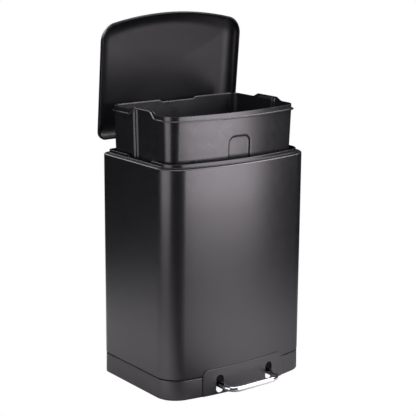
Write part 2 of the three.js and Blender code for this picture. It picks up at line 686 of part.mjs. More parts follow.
function makeBucket() {
  const channelStops = channel.steps.flat().flatMap((away) => [channel.middle - away, channel.middle + away]);
  const sideStops = [ear.rearFoot, ear.rearTop, ear.frontTop, ear.frontFoot, ...channelStops];
  const rearStops = [rimNotch.left - rimNotch.step, rimNotch.left,
    rimNotch.right, rimNotch.right + rimNotch.step];
  const frontStops = [-panel.outer, -panel.inner, panel.inner, panel.outer];
  const sideLimit = bucket.width / 2 - 45;
  const ramp = (value, from, to) => THREE.MathUtils.clamp((value - from) / (to - from), 0, 1);
  const earAt = (x, y) => (Math.abs(x) > sideLimit
    ? ramp(y, ear.rearFoot, ear.rearTop) * ramp(y, ear.frontFoot, ear.frontTop) : 0);
  const channelAt = (x, y) => (Math.abs(x) > sideLimit
    ? channel.steps.reduce((sum, [outer, inner]) => sum + ramp(Math.abs(y - channel.middle), outer, inner), 0)
    : 0);
  const notchAt = (x, y) => (y > 60
    ? ramp(x, rimNotch.left - rimNotch.step, rimNotch.left)
      * ramp(x, rimNotch.right + rimNotch.step, rimNotch.right) : 0);
  const panelAt = (x, y) => (y < -60 ? ramp(Math.abs(x), panel.outer, panel.inner) : 0);
  const makeRing = (inset, z, earRise, notchDepth, stepDepth, panelDepth = 0) => (
    planOutline(bucket, inset, sideStops, rearStops, frontStops).map(([x, y]) => [
      x - Math.sign(x) * stepDepth * channelAt(x, y),
      y + panelDepth * panelAt(x, y),
      z + earRise * earAt(x, y) - notchDepth * notchAt(x, y),
    ]));
  const { lip, wall, rimHeight, height, draft, bottomRadius } = bucket;
  const low = -height;
  const deep = channel.stepDepth;
  const wallRing = (inset, z, panelDepth) => makeRing(inset - draft * z / height, z, 0, 0, deep, panelDepth);
  return loft([
    makeRing(lip + draft + bottomRadius, low, 0, 0, 0),
    makeRing(lip + draft + bottomRadius * 0.3, low + bottomRadius * 0.3, 0, 0, deep, panel.depth),
    makeRing(lip + draft, low + bottomRadius, 0, 0, deep, panel.depth),
    wallRing(lip, panel.lower, panel.depth),
    wallRing(lip, panel.upper, 0),
    makeRing(lip, -1, ear.flangeRise, 0, deep),
    makeRing(0, -1, ear.flangeRise, 0, 0),
    makeRing(0, 1, ear.flangeRise, 0, 0),
    makeRing(lip, 1, ear.flangeRise, 0, 0),
    makeRing(lip, rimHeight, ear.rimRise, rimNotch.depth, 0),
    makeRing(lip + wall, rimHeight, ear.rimRise, rimNotch.depth, 0),
    makeRing(lip + wall, 1, ear.flangeRise, 0, 0),
    makeRing(lip + wall, -2, ear.flangeRise, 0, deep),
    wallRing(lip + wall, panel.upper, 0),
    wallRing(lip + wall, panel.lower, panel.depth),
    makeRing(lip + wall + draft, low + bottomRadius, 0, 0, deep, panel.depth),
    makeRing(lip + wall + draft + bottomRadius * 0.3, low + wall + bottomRadius * 0.3, 0, 0, deep, panel.depth),
    makeRing(lip + wall + draft + bottomRadius * 0.8, low + wall, 0, 0, 0),
  ], false);
}

// ---------------------------------------------------------------- assembly

addPart('outer_shell', makeOuterShell(), paint);
addPart('top_collar', makeTopCollar(), plastic);
addPart('base_skirt', makeBaseSkirt(), plastic);
addPart('floor_plate', makeFloorPlate(), steel);
addPart('pedal_plate', makePedalPlate(), plastic);
[-bumper.x, bumper.x].forEach((x, i) => addPart(`ledge_bumper_${i + 1}`, makeLedgeBumper(x), rubber));
baseScrewSpots.forEach((spot, i) => addPart(`base_screw_${i + 1}`, makeBaseScrew(spot), steel));
footSpots.forEach((spot, i) => addPart(`rubber_foot_${i + 1}`, makeFoot(spot), rubber));

addPart('pedal_bar', makePedalBar(), chrome);
addPart('pedal_lever', makePedalLever(), zinc);
addPart('pedal_axle', rodBetween([-axle.halfLength, pedalPivot.y, pedalPivot.z],
  [axle.halfLength, pedalPivot.y, pedalPivot.z], axle.radius), steel);
[['left', -1], ['right', 1]].forEach(([word, side]) => {
  addPart(`axle_bracket_${word}`, makeAxleBracket(side), plastic);
  addPart(`axle_clip_${word}`, makeAxleClip(side), steel);
});

addPart('push_rod', makePushRod(), steel);
addPart('fork_pin', makeForkPin(), steel);
addPart('rod_guide_lower', makeRodGuide(250), plastic);
addPart('rod_guide_upper', makeRodGuide(430), plastic);
addPart('damper_cylinder', makeDamperCylinder(), plastic);
addPart('damper_piston', makeDamperPiston(), steel);
addPart('damper_clamp', makeDamperClamp(), plastic);
addPart('damper_strap_lower', makeDamperStrap(78), plastic);
addPart('damper_strap_upper', makeDamperStrap(132), plastic);

addPart('hinge_housing', makeHingeHousing(), plastic);
addPart('hinge_pin', rodBetween([-housing.halfWidth + 0.5, hinge.y, hinge.z],
  [housing.halfWidth - 0.5, hinge.y, hinge.z], 2.5), steel);
housingScrewX.forEach((x, i) => addPart(`housing_screw_${i + 1}`, makeHousingScrew(x), steel));

addLidPart('lid_shell', makeLidShell(), paint);
addLidPart('lid_liner', makeLidLiner(), plastic);
addLidPart('lid_bracket', makeLidBracket(), steel);
addLidPart('crank_pin', makeCrankPin(), steel);
bracketScrewX.forEach((x, i) => addLidPart(`bracket_screw_${i + 1}`, makeBracketScrew(x), steel));

const innerBucket = addPart('inner_bucket', makeBucket(), plastic);
innerBucket.position.set(bucketAt.x, bucketAt.y, bucketAt.z);

export default group;
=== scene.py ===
"""Looks for a step-on pedal bin: satin black body and lid, dark plastic bucket, chrome pedal, white studio.

Lengths in the shape code are millimetres in the body's own frame, where the middle of the shell's sides is
x = 0, y = 0. point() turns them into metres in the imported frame, with the offset read from the outer shell.
"""
import itertools
import json
import math

import bmesh
import bpy
from mathutils import Matrix, Vector


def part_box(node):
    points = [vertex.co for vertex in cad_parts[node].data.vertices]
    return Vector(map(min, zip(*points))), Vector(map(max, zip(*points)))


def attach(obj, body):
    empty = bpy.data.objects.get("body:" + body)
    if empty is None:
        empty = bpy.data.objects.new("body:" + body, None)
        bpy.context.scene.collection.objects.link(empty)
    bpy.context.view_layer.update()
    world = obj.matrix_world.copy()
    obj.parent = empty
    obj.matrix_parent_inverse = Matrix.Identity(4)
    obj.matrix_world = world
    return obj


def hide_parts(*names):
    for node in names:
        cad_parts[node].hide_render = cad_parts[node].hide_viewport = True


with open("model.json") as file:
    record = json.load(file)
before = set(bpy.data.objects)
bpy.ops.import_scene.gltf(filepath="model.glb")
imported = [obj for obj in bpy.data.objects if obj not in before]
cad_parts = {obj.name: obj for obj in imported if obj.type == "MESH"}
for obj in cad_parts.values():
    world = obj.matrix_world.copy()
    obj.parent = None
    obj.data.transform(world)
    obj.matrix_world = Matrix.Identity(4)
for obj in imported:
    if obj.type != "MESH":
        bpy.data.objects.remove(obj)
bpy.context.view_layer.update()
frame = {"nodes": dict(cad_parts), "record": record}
joints = {joint["name"]: joint for joint in frame["record"]["behaviour"]["joints"]}

# ---------------------------------------------------------------- sizes read from the frame

MM = 0.001
shell_low, shell_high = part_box("outer_shell")
collar_low, collar_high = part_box("top_collar")
bucket_low, bucket_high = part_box("inner_bucket")
skirt_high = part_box("base_skirt")[1]
plate_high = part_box("pedal_plate")[1]
bar_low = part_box("pedal_bar")[0]

BODY_SIDE_DEPTH = 253.0
BODY_BOW = (shell_high.y - shell_low.y) / MM - BODY_SIDE_DEPTH
BODY_WIDTH = (shell_high.x - shell_low.x) / MM
OFFSET_Y = shell_high.y / MM - BODY_SIDE_DEPTH / 2
SHELL_BOTTOM = shell_low.z / MM
SHELL_TOP = shell_high.z / MM

HINGE_Y = joints["lid_hinge"]["pos_m"][1] / MM - OFFSET_Y
HINGE_Z = joints["lid_hinge"]["pos_m"][2] / MM
LID_OPEN = math.radians(-joints["lid_hinge"]["range_deg"][0])


class Plan:
    """A plan shape: straight back and sides, round corners and a bowed front."""

    def __init__(self, width, side_depth, bow, front_radius, rear_radius):
        self.half = width / 2
        self.rear = side_depth / 2
        self.bow = bow
        self.front_radius = front_radius
        self.rear_radius = rear_radius


BODY = Plan(BODY_WIDTH, BODY_SIDE_DEPTH, BODY_BOW, 51.0, 25.0)
LID_PLAN = Plan(BODY_WIDTH, BODY_SIDE_DEPTH, BODY_BOW, 45.0, 19.0)


def point(x, y, z):
    """A point of the body's own frame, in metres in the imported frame."""
    return (x * MM, (y + OFFSET_Y) * MM, z * MM)


# ---------------------------------------------------------------- mesh tools

SHARP_ANGLE = 35.0


def spaced(low, high, step):
    """Values strictly between low and high, about step apart."""
    count = max(1, round((high - low) / step))
    return [low + (high - low) * i / count for i in range(1, count)]


def outline(plan, inset=0.0, side_ys=None, rear_xs=None, front_xs=None,
            front_steps=20, rear_steps=14):
    """Anticlockwise outline of a plan shape moved inward by inset.

    side_ys, rear_xs and front_xs choose the points on the sides, the back and the bowed front.
    """
    half = plan.half - inset
    rear = plan.rear - inset
    front = -plan.rear + inset
    front_radius = max(plan.front_radius - inset, 1.0)
    rear_radius = max(plan.rear_radius - inset, 1.0)

    def front_at(x):
        return front - plan.bow + plan.bow * (x / half) ** 2

    # Where the front corner's arc meets the bow, found by repeated substitution.
    tangent = half - front_radius
    for _ in range(20):
        slope = 2 * plan.bow * tangent / half ** 2
        tangent = half - front_radius + front_radius * slope / math.hypot(1, slope)
    slope = 2 * plan.bow * tangent / half ** 2
    centre_y = front_at(tangent) + front_radius / math.hypot(1, slope)
    turn = math.atan(slope)
    points = []

    def arc(cx, cy, radius, start, end, steps):
        for i in range(steps + 1):
            angle = start + (end - start) * i / steps
            points.append((cx + radius * math.cos(angle), cy + radius * math.sin(angle)))

    quarter = math.pi / 2
    side_ys = side_ys or spaced(centre_y, rear - rear_radius, 20)
    rear_xs = rear_xs or spaced(rear_radius - half, half - rear_radius, 20)
    front_xs = front_xs or spaced(-plan.half + plan.front_radius, plan.half - plan.front_radius, 6)
    arc(half - front_radius, centre_y, front_radius, turn - quarter, 0, front_steps)
    points.extend((half, y) for y in sorted(side_ys))
    arc(half - rear_radius, rear - rear_radius, rear_radius, 0, quarter, rear_steps)
    points.extend((x, rear) for x in sorted(rear_xs, reverse=True))
    arc(rear_radius - half, rear - rear_radius, rear_radius, quarter, 2 * quarter, rear_steps)
    points.extend((-half, y) for y in sorted(side_ys, reverse=True))
    arc(front_radius - half, centre_y, front_radius, 2 * quarter, 3 * quarter - turn, front_steps)
    points.extend((x, front_at(x)) for x in sorted(front_xs))
    return points


def add_mesh(name, vertices, faces, material):
    """A smooth-shaded piece from points in metres, with its sharp edges kept crisp."""
    mesh = bpy.data.meshes.new(name)
    mesh.from_pydata(vertices, [], faces)
    mesh.validate()
    build = bmesh.new()
    build.from_mesh(mesh)
    bmesh.ops.remove_doubles(build, verts=build.verts, dist=1e-7)
    bmesh.ops.recalc_face_normals(build, faces=build.faces)
    build.to_mesh(mesh)
    build.free()
    piece = bpy.data.objects.new(name, mesh)
    bpy.context.scene.collection.objects.link(piece)
    mesh.materials.append(material)
    finish_shading(piece)
    return piece


def finish_shading(piece, sharp=SHARP_ANGLE):
    """Smooth shading with crisp edges above an angle in degrees."""
    piece.data.shade_smooth()
    piece.data.set_sharp_from_angle(angle=math.radians(sharp))


def loft(name, rings, material, closed, place=point):
    """A skin through equal rings of (x, y, z): closed on itself, or with a flat face at each end."""
    count = len(rings[0])
    vertices = [place(*p) for ring in rings for p in ring]
    faces = []
    bands = len(rings) if closed else len(rings) - 1
    for band in range(bands):
        start, end = band * count, (band + 1) % len(rings) * count
        for i in range(count):
            j = (i + 1) % count
            faces.append((start + i, start + j, end + j, end + i))
    if not closed:
        faces.append(tuple(reversed(range(count))))
        faces.append(tuple(range((len(rings) - 1) * count, len(rings) * count)))
    return add_mesh(name, vertices, faces, material)


def round_corner(start, corner, end, radius, steps=4):
    """Points of a profile that turns from start to end round a corner."""
    a, c, b = Vector(start), Vector(corner), Vector(end)
    to_a, to_b = (a - c).normalized(), (b - c).normalized()
    angle = to_a.angle(to_b)
    cut = min(radius / math.tan(angle / 2), (a - c).length * 0.49, (b - c).length * 0.49)
    true_radius = cut * math.tan(angle / 2)
    centre = c + (to_a + to_b).normalized() * (true_radius / math.sin(angle / 2))
    first = c + to_a * cut - centre
    last = c + to_b * cut - centre
    sweep_angle = first.angle_signed(last)
    points = []
    for i in range(steps + 1):
        turn = Matrix.Rotation(-sweep_angle * i / steps, 2)
        points.append(tuple(centre + turn @ first))
    return points


def rounded(profile, radii, closed=True, steps=4):
    """A profile with its corners rounded: radii gives each corner's radius, 0 for a plain point."""
    points = []
    count = len(profile)
    for i, (corner, radius) in enumerate(zip(profile, radii)):
        at_end = not closed and i in (0, count - 1)
        if radius == 0 or at_end:
            points.append(corner)
        else:
            points.extend(round_corner(profile[i - 1], corner, profile[(i + 1) % count], radius, steps))
    return points


def cut_away(piece, *cutters):
    """Cuts closed meshes out of a piece, and removes them."""
    for cutter in cutters:
        change = piece.modifiers.new("cut", "BOOLEAN")
        change.operation = "DIFFERENCE"
        change.solver = "EXACT"
        change.object = cutter
    graph = bpy.context.evaluated_depsgraph_get()
    mesh = bpy.data.meshes.new_from_object(piece.evaluated_get(graph))
    piece.modifiers.clear()
    piece.data = mesh
    for cutter in cutters:
        bpy.data.objects.remove(cutter)
    finish_shading(piece)


def block(low, high):
    """A plain box used as a cutter, in the body's frame."""
    corners = list(itertools.product(*zip(low, high)))
    faces = [(0, 1, 3, 2), (4, 6, 7, 5), (0, 4, 5, 1), (2, 3, 7, 6), (0, 2, 6, 4), (1, 5, 7, 3)]
    return add_mesh("cutter", [point(*c) for c in corners], faces, None)


def arc_points(x, z, radius, start, end, step):
    """Points of an arc in a plane, from one angle to another, in whole degrees."""
    angles = [math.radians(a) for a in range(start, end + 1, step)]
    return [(x + radius * math.cos(a), z + radius * math.sin(a)) for a in angles]


def smooth_step(value, low, high):
    """0 at low, 1 at high, easing in and out; low may be above high."""
    t = min(max((value - low) / (high - low), 0.0), 1.0)
    return t * t * (3 - 2 * t)


# ---------------------------------------------------------------- materials

SHINE_TINT = (1.0, 0.93, 1.0, 1.0)
CLOUD_SCALE = 9.0
GLOSS_SCALE = 60.0
GRAIN_HEIGHT = 0.0002


def new_material(name):
    """An empty material with one Principled shader."""
    material = bpy.data.materials.new(name)
    material.use_nodes = True
    tree = material.node_tree
    tree.nodes.clear()
    output = tree.nodes.new("ShaderNodeOutputMaterial")
    shader = tree.nodes.new("ShaderNodeBsdfPrincipled")
    tree.links.new(shader.outputs["BSDF"], output.inputs["Surface"])
    return material, tree, shader


def noise(tree, scale, detail=2.0, roughness=0.5, stretch=(1, 1, 1)):
    """A noise texture in the piece's own coordinates, in metres."""
    coordinates = tree.nodes.new("ShaderNodeTexCoord")
    mapping = tree.nodes.new("ShaderNodeMapping")
    mapping.inputs["Scale"].default_value = stretch
    texture = tree.nodes.new("ShaderNodeTexNoise")
    texture.inputs["Scale"].default_value = scale
    texture.inputs["Detail"].default_value = detail
    texture.inputs["Roughness"].default_value = roughness
    tree.links.new(coordinates.outputs["Object"], mapping.inputs["Vector"])
    tree.links.new(mapping.outputs["Vector"], texture.inputs["Vector"])
    return texture.outputs["Fac"]


def mapped(tree, value, low, high, source=(0.3, 0.7)):
    """A value that runs from low to high while the given one runs over source, and stays within them."""
    node = tree.nodes.new("ShaderNodeMapRange")
    node.inputs["From Min"].default_value = source[0]
    node.inputs["From Max"].default_value = source[1]
    node.inputs["To Min"].default_value = low
    node.inputs["To Max"].default_value = high
    tree.links.new(value, node.inputs["Value"])
    return node.outputs["Result"]


def mixed(tree, factor, first, second):
    """A colour that runs from first to second."""
    node = tree.nodes.new("ShaderNodeMix")
    node.data_type = "RGBA"
    node.inputs["A"].default_value = (*first, 1)
    node.inputs["B"].default_value = (*second, 1)
    tree.links.new(factor, node.inputs["Factor"])
    return node.outputs["Result"]


def bumped(tree, shader, height, strength):
    """Gives a shader a fine relief from a height value."""
    node = tree.nodes.new("ShaderNodeBump")
    node.inputs["Strength"].default_value = strength
    node.inputs["Distance"].default_value = GRAIN_HEIGHT
    tree.links.new(height, node.inputs["Height"])
    tree.links.new(node.outputs["Normal"], shader.inputs["Normal"])


def surface(name, dark, light, roughness, specular, grain, bump, metallic=0.0, stretch=(1, 1, 1)):
    """A coat, plastic or metal: faint cloudy colour, uneven gloss and a fine surface grain."""
    material, tree, shader = new_material(name)
    shader.inputs["Metallic"].default_value = metallic
    shader.inputs["Specular IOR Level"].default_value = specular
    shader.inputs["Specular Tint"].default_value = SHINE_TINT
    cloud = noise(tree, CLOUD_SCALE, 3.0)
    tree.links.new(mixed(tree, mapped(tree, cloud, 0, 1), dark, light), shader.inputs["Base Color"])
    gloss = noise(tree, GLOSS_SCALE, 3.0)
    tree.links.new(mapped(tree, gloss, *roughness), shader.inputs["Roughness"])
    bumped(tree, shader, noise(tree, grain, 2.0, 0.6, stretch), bump)
    return material


black_coat = surface(
    "black_coat", dark=(0.0075, 0.0073, 0.0085), light=(0.0095, 0.0092, 0.0105),
    roughness=(0.29, 0.33), specular=1.0, grain=900, bump=0.05)
base_plastic = surface(
    "base_plastic", dark=(0.014, 0.0135, 0.015), light=(0.018, 0.017, 0.019),
    roughness=(0.36, 0.42), specular=0.9, grain=1300, bump=0.10)
collar_plastic = surface(
    "collar_plastic", dark=(0.006, 0.006, 0.007), light=(0.009, 0.009, 0.010),
    roughness=(0.27, 0.32), specular=0.8, grain=900, bump=0.05)
bucket_plastic = surface(
    "bucket_plastic", dark=(0.011, 0.011, 0.013), light=(0.015, 0.015, 0.0175),
    roughness=(0.27, 0.32), specular=1.0, grain=1100, bump=0.08)
liner_plastic = surface(
    "liner_plastic", dark=(0.005, 0.0048, 0.006), light=(0.0065, 0.006, 0.0075),
    roughness=(0.36, 0.40), specular=0.4, grain=1000, bump=0.05)
rubber = surface(
    "rubber", dark=(0.012, 0.012, 0.012), light=(0.02, 0.02, 0.02),
    roughness=(0.72, 0.85), specular=0.4, grain=2500, bump=0.35)
dark_steel = surface(
    "dark_steel", dark=(0.02, 0.02, 0.022), light=(0.035, 0.035, 0.038),
    roughness=(0.4, 0.5), specular=0.6, grain=500, bump=0.1)
zinc_steel = surface(
    "zinc_steel", dark=(0.40, 0.41, 0.44), light=(0.52, 0.53, 0.56),
    roughness=(0.30, 0.45), specular=0.5, grain=700, bump=0.12, metallic=1.0)
bright_steel = surface(
    "bright_steel", dark=(0.50, 0.51, 0.53), light=(0.60, 0.61, 0.63),
    roughness=(0.20, 0.34), specular=0.5, grain=1500, bump=0.10, metallic=1.0, stretch=(0.05, 1, 1))
chrome = surface(
    "chrome", dark=(0.68, 0.68, 0.71), light=(0.74, 0.74, 0.77),
    roughness=(0.05, 0.08), specular=0.5, grain=300, bump=0.012, metallic=1.0)

# ---------------------------------------------------------------- outer body

SHEET = 0.8
LEDGE = 11.5
TOP_RADIUS = 3.2
CORNER_STEPS = 7
HINGE_GAP_X = (-9, 13)
HINGE_GAP_Y = (100, 140)
HINGE_GAP_TOP = 520
SHELL_GAP_BOTTOM = 480
COLLAR_GAP_BOTTOM = 470


def ring_at(plan, inset, z):
    """A level ring of a plan shape."""
    return [(x, y, z) for x, y in outline(plan, inset)]


def hinge_gap(bottom):
    """A cutter for the notch in the rear edge, where the lid's bracket passes."""
    return block((HINGE_GAP_X[0], HINGE_GAP_Y[0], bottom), (HINGE_GAP_X[1], HINGE_GAP_Y[1], HINGE_GAP_TOP))


def make_shell():
    """The sheet-metal body, with a narrow ledge turned in round its top edge."""
    profile = rounded([
        (0, SHELL_BOTTOM), (0, SHELL_TOP), (LEDGE, SHELL_TOP), (LEDGE, SHELL_TOP - SHEET),
        (SHEET, SHELL_TOP - SHEET), (SHEET, SHELL_BOTTOM),
    ], [0.3, TOP_RADIUS, 0.35, 0.35, TOP_RADIUS - SHEET, 0.3], steps=CORNER_STEPS)
    outer_side = CORNER_STEPS + 1
    profile[outer_side:outer_side] = [(0, z) for z in spaced(SHELL_BOTTOM + 1, SHELL_TOP - TOP_RADIUS, 90)]
    shell = loft("shell_body", [ring_at(BODY, inset, z) for inset, z in profile], black_coat, closed=True)
    cut_away(shell, hinge_gap(SHELL_GAP_BOTTOM))
    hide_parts("outer_shell")
    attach(shell, "body")


COLLAR_INSET = 11.8
COLLAR_WALL = 2.5
COLLAR_TOP = collar_high.z / MM
COLLAR_BOTTOM = collar_low.z / MM
FLANGE = {"reach": 4.0, "bottom": SHELL_TOP + 0.3, "top": SHELL_TOP + 1.5}
SCOOP = {"depth": 6.0, "rear": 38.0, "front": -55.0, "slope": 14.0, "side_reach": 60.0}


def scoop_depth(x, y):
    """How far the collar's edge dips at the finger scoop in each side."""
    if abs(x) < BODY.half - SCOOP["side_reach"]:
        return 0.0
    rear = smooth_step(y, SCOOP["rear"], SCOOP["rear"] - SCOOP["slope"])
    front = smooth_step(y, SCOOP["front"], SCOOP["front"] + SCOOP["slope"])
    return SCOOP["depth"] * rear * front


def make_collar():
    """The plastic ring in the mouth of the body: a wall with a small flange on the shell's ledge."""
    outer = COLLAR_INSET
    inner = COLLAR_INSET + COLLAR_WALL
    lip = outer - FLANGE["reach"]
    profile = rounded([
        (outer, COLLAR_BOTTOM), (outer, FLANGE["bottom"]), (lip, FLANGE["bottom"]), (lip, FLANGE["top"]),
        (outer, FLANGE["top"]), (outer, COLLAR_TOP), (inner, COLLAR_TOP), (inner, COLLAR_BOTTOM),
    ], [0.5, 0, 0.3, 0.5, 0.5, 0.9, 0.9, 0.5])
    side_ys = spaced(-75, 100, 3)
    rings = []
    for inset, z in profile:
        dip = smooth_step(z, FLANGE["top"], COLLAR_TOP)
        rings.append([(x, y, z - scoop_depth(x, y) * dip)
                      for x, y in outline(BODY, inset, side_ys=side_ys)])
    collar = loft("collar_ring", rings, collar_plastic, closed=True)
    cut_away(collar, hinge_gap(COLLAR_GAP_BOTTOM))
    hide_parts("top_collar")
    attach(collar, "body")


# ---------------------------------------------------------------- base and pedal cover

BASE_BOTTOM = 0.5
BASE_TOP = 44.6
BASE_SET_IN = 0.5
BASE_TAPER_START = BASE_BOTTOM + 7
BASE_WALL = 4.6
DECK_TOP = 45.7
DECK_BOTTOM = DECK_TOP - 2.6
SPIGOT = {"outer": 5.6, "inner": 6.6, "top": skirt_high.z / MM}
ROD_OPENING = {"half": 13, "front": 56, "rear": 124.6}
SLOT_X = 68.0
SLOT_HALF = 9.5
SLOT_BOTTOM = 4.0
SLOT_TOP = 43.5
WINDOW = {"margin": 2, "front": -170, "rear": -130, "bottom": -5, "top": SLOT_TOP + 0.5}


def make_base():
    """The foot of the bin: a wall that is set in at its top, a deck, and a spigot inside the shell."""
    profile = rounded([
        (BASE_WALL, DECK_BOTTOM), (BASE_WALL, BASE_BOTTOM), (0, BASE_BOTTOM), (0, BASE_TAPER_START),
        (BASE_SET_IN, BASE_TOP), (SPIGOT["outer"], BASE_TOP), (SPIGOT["outer"], SPIGOT["top"]),
        (SPIGOT["inner"], SPIGOT["top"]), (SPIGOT["inner"], DECK_TOP),
    ], [0, 0.3, 0.5, 9, 2.4, 0, 0.3, 0.3, 0], closed=False, steps=5)
    rings = [ring_at(BODY, inset, z) for inset, z in profile]
    base = loft("base_moulding", rings, base_plastic, closed=False)
    rod_opening = block((-ROD_OPENING["half"], ROD_OPENING["front"], DECK_BOTTOM - 1),
                        (ROD_OPENING["half"], ROD_OPENING["rear"], SPIGOT["top"] + 1))
    reach = SLOT_HALF + WINDOW["margin"]
    windows = [block((x - reach, WINDOW["front"], WINDOW["bottom"]),
                     (x + reach, WINDOW["rear"], WINDOW["top"])) for x in (-SLOT_X, SLOT_X)]
    cut_away(base, rod_opening, *windows)
    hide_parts("base_skirt")
    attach(base, "body")


PLATE = {"half": 110.0, "bottom": 0.6, "top": plate_high.z / MM, "radius": 13.0, "proud": 2.0, "gap": 0.3}
PLATE_EDGE = 0.8
PLATE_GRID = 4
DISH = {"depth": 0.9, "middle_z": 26, "half_width": (52, 12), "half_height": (24, 6)}


def front_line(x, outward):
    """y of the bowed front at x, moved outward."""
    half = BODY.half + outward
    return -BODY.rear - outward - BODY.bow + BODY.bow * (x / half) ** 2


def cover_outlines():
    """The cover's outline with round shoulders, and its two slots, in x and z, inside its rounded edge."""
    half = PLATE["half"] - PLATE_EDGE
    low = PLATE["bottom"] + PLATE_EDGE
    shoulder = PLATE["top"] - PLATE_EDGE - PLATE["radius"]
    edge = [(-half, low), (half, low)]
    edge += arc_points(half - PLATE["radius"], shoulder, PLATE["radius"], 0, 90, 6)
    edge += arc_points(PLATE["radius"] - half, shoulder, PLATE["radius"], 90, 180, 6)
    loops = [edge]
    for x in (-SLOT_X, SLOT_X):
        top = arc_points(x, SLOT_TOP - SLOT_HALF, SLOT_HALF + PLATE_EDGE, 0, 180, 10)
        bottom = arc_points(x, SLOT_BOTTOM + SLOT_HALF, SLOT_HALF + PLATE_EDGE, 180, 360, 10)
        loops.append(top + bottom)
    return loops


def flat_cover(thickness):
    """The mesh of the cover lying flat: x and z as its plane, its thickness along the third number."""
    curve = bpy.data.curves.new("pedal_cover", "CURVE")
    curve.dimensions = "2D"
    curve.fill_mode = "BOTH"
    curve.extrude = thickness / 2 - PLATE_EDGE
    curve.bevel_depth = PLATE_EDGE
    curve.bevel_resolution = 3
    for points in cover_outlines():
        spline = curve.splines.new("POLY")
        spline.points.add(len(points) - 1)
        for target, (x, z) in zip(spline.points, points):
            target.co = (x, z, 0, 1)
        spline.use_cyclic_u = True
    flat = bpy.data.objects.new("flat_cover", curve)
    bpy.context.scene.collection.objects.link(flat)
    graph = bpy.context.evaluated_depsgraph_get()
    mesh = bpy.data.meshes.new_from_object(flat.evaluated_get(graph))
    bpy.data.objects.remove(flat)
    return mesh


def dish_at(x, z):
    """Depth of the shallow hollow in the middle of the cover."""
    return (DISH["depth"] * smooth_step(abs(x), *DISH["half_width"])
            * smooth_step(abs(z - DISH["middle_z"]), *DISH["half_height"]))


def make_pedal_cover():
    """The front cover with two upright slots, cut into a grid and bent over the bowed front."""
    thickness = PLATE["proud"] - PLATE["gap"]
    mesh = flat_cover(thickness)
    build = bmesh.new()
    build.from_mesh(mesh)
    bmesh.ops.remove_doubles(build, verts=build.verts, dist=1e-4)
    half = PLATE["half"] - PLATE_EDGE
    low = PLATE["bottom"] + PLATE_EDGE
    top = PLATE["top"] - PLATE_EDGE
    cuts = [((x, 0, 0), (1, 0, 0)) for x in spaced(-half, half, PLATE_GRID)]
    cuts += [((0, z, 0), (0, 1, 0)) for z in spaced(low, top, PLATE_GRID)]
    for place, normal in cuts:
        everything = build.verts[:] + build.edges[:] + build.faces[:]
        bmesh.ops.bisect_plane(build, geom=everything, plane_co=place, plane_no=normal)
    centre = PLATE["gap"] + thickness / 2
    for vertex in build.verts:
        x, z, depth = vertex.co
        hollow = dish_at(x, z) if depth > 0.2 else 0.0
        vertex.co = point(x, front_line(x, centre + depth) + hollow, z)
    bmesh.ops.recalc_face_normals(build, faces=build.faces)
    build.to_mesh(mesh)
    build.free()
    cover = bpy.data.objects.new("pedal_cover", mesh)
    bpy.context.scene.collection.objects.link(cover)
    mesh.materials.clear()
    mesh.materials.append(base_plastic)
    finish_shading(cover, 50)
    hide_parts("pedal_plate")
    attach(cover, "body")


# ---------------------------------------------------------------- pedal

BAR = {"radius": 6.0, "socket": -104.0, "slot_z": 21.0, "front_z": 19.5, "bend": 27.0}


def sweep(name, path, radius, material, sides=28):
    """A round bar along a path, with flat ends, carried without twist."""
    points = [Vector(p) for p in path]
    rings = []
    side = Vector((0, 0, 1))
    for i, here in enumerate(points):
        ahead = points[min(i + 1, len(points) - 1)] - points[max(i - 1, 0)]
        ahead.normalize()
        side = (side - ahead * side.dot(ahead)).normalized()
        across = ahead.cross(side)
        rings.append([tuple(here + radius * (math.cos(a) * side + math.sin(a) * across))
                      for a in (2 * math.pi * k / sides for k in range(sides))])
    return loft(name, rings, material, closed=False)


def bend_points(start, corner, end, steps=16):
    """A smooth bend from start to end, pulled toward the corner."""
    a, b, c = Vector(start), Vector(corner), Vector(end)
    shares = [i / steps for i in range(steps + 1)]
    return [a * (1 - t) ** 2 + 2 * b * t * (1 - t) + c * t * t for t in shares]


def bar_leg(sign):
    """One side of the pedal bar: out of its slot, forward, and round the bend to the straight front."""
    front_y = bar_low.y / MM - OFFSET_Y + BAR["radius"]
    socket = (sign * SLOT_X, BAR["socket"], BAR["slot_z"] + 1)
    bend_start = (sign * SLOT_X, front_y + BAR["bend"], BAR["slot_z"] - 0.5)
    corner = (sign * SLOT_X, front_y, BAR["front_z"])
    bend_end = (sign * (SLOT_X - BAR["bend"]), front_y, BAR["front_z"])
    return [Vector(socket)] + bend_points(bend_start, corner, bend_end)


def make_pedal_bar():
    """The bent chrome bar between the two slots."""
    bar = sweep("chrome_pedal", bar_leg(-1) + bar_leg(1)[::-1], BAR["radius"], chrome)
    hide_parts("pedal_bar")
    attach(bar, "pedal")


# ---------------------------------------------------------------- lid, drawn shut and turned open

LID = {"inset": 2.8, "rim": 502.0, "wall": 506.0, "round_width": 34.0, "round_height": 22.0, "crown": 3.0}
LID_SKIN = 0.8
LINER_DEPTH = LID_SKIN + 0.3
LINER_WALL = 2.2
SKIN_EDGE = LID["rim"] + 0.4
LINER_EDGE = LID["rim"] + 1.0
DOME_REACH = 0.985


def opened(x, y, z):
    """A point of the shut lid, turned open about the hinge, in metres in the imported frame."""
    dy, dz = y - HINGE_Y, z - HINGE_Z
    turned_y = dy * math.cos(LID_OPEN) + dz * math.sin(LID_OPEN)
    turned_z = -dy * math.sin(LID_OPEN) + dz * math.cos(LID_OPEN)
    return point(x, HINGE_Y + turned_y, HINGE_Z + turned_z)


